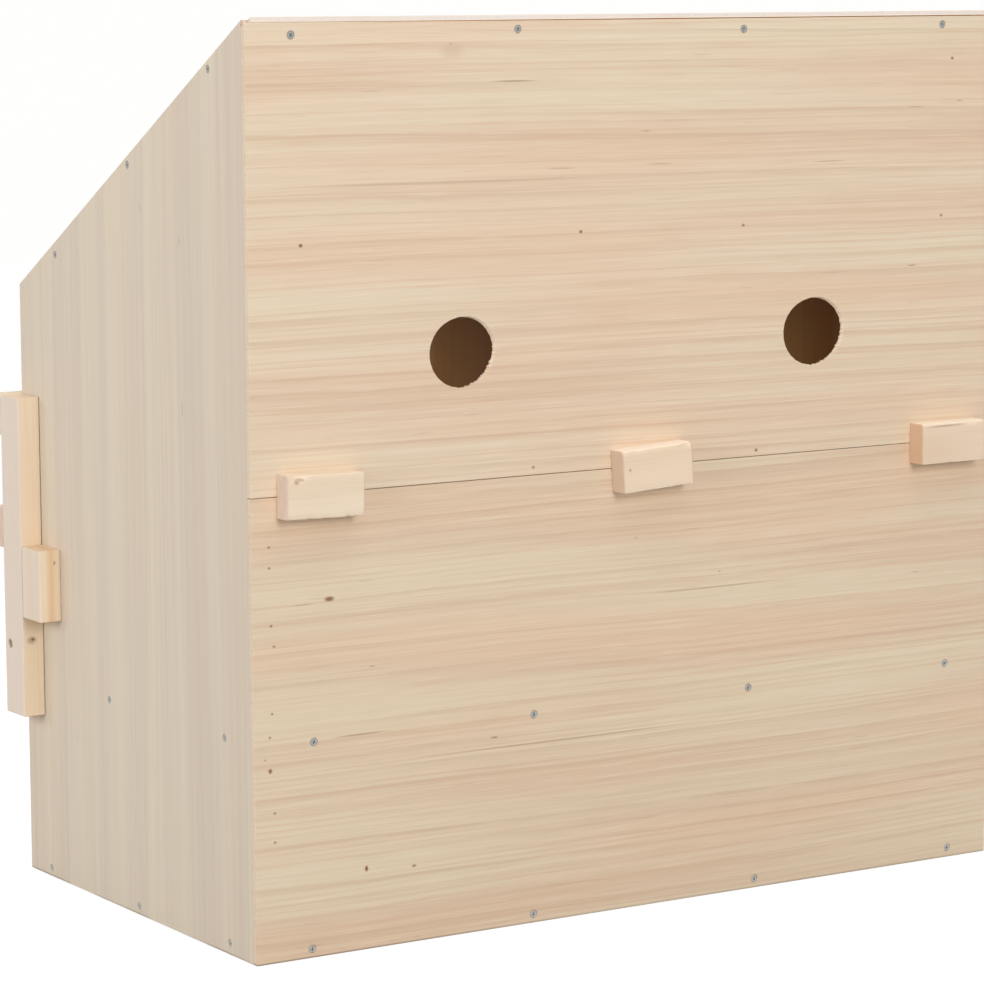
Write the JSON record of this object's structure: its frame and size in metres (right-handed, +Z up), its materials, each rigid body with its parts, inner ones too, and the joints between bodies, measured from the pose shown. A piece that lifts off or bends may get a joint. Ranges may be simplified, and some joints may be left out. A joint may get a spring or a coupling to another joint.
{
  "type": "chicken nesting box",
  "caption": "Free-standing plywood nesting box with two nests, a single-pitch roof, rear vent holes, seam cleats and a perch frame that folds down in front of the entries.",
  "frame": {"origin": "on the ground, at the centre of the whole footprint, with the perch folded up", "axes": "+Z up, +X to the right as seen from the front, +Y to the rear; the entries and the perch face -Y, the vent holes face +Y"},
  "size_m": [0.6648, 0.385, 0.6355],
  "materials": {
    "plywood": "bare, sanded",
    "pine": "bare, sawn",
    "screw_steel": "zinc plated"
  },
  "bodies": {
    "box": {"right_wall": "plywood", "left_wall": "plywood", "rear_upper_panel": "plywood", "rear_lower_panel": "plywood", "roof_panel": "plywood", "nest_floor": "plywood", "centre_divider": "plywood", "front_lip_board": "pine", "front_lower_panel": "plywood", "front_top_batten": "pine", "rear_top_batten": "pine", "right_roof_batten": "pine", "left_roof_batten": "pine", "front_floor_batten": "pine", "rear_floor_batten": "pine", "right_floor_batten": "pine", "left_floor_batten": "pine", "front_bottom_batten": "pine", "rear_bottom_batten": "pine", "right_bottom_batten": "pine", "left_bottom_batten": "pine", "rear_cleat_right": "pine", "rear_cleat_centre": "pine", "rear_cleat_left": "pine", "right_perch_stop": "pine", "left_perch_stop": "pine", "right_pivot_screw": "screw_steel", "left_pivot_screw": "screw_steel"},
    "perch": {"right_perch_arm": "pine", "left_perch_arm": "pine", "upper_perch_rail": "pine", "lower_perch_rail": "pine"}
  },
  "joints": [
    {"name": "perch_fold", "type": "hinge", "parent": "box", "child": "perch", "pos_m": [0, -0.1675, 0.173], "axis": [1, 0, 0], "range_deg": [0, 90]}
  ]
}
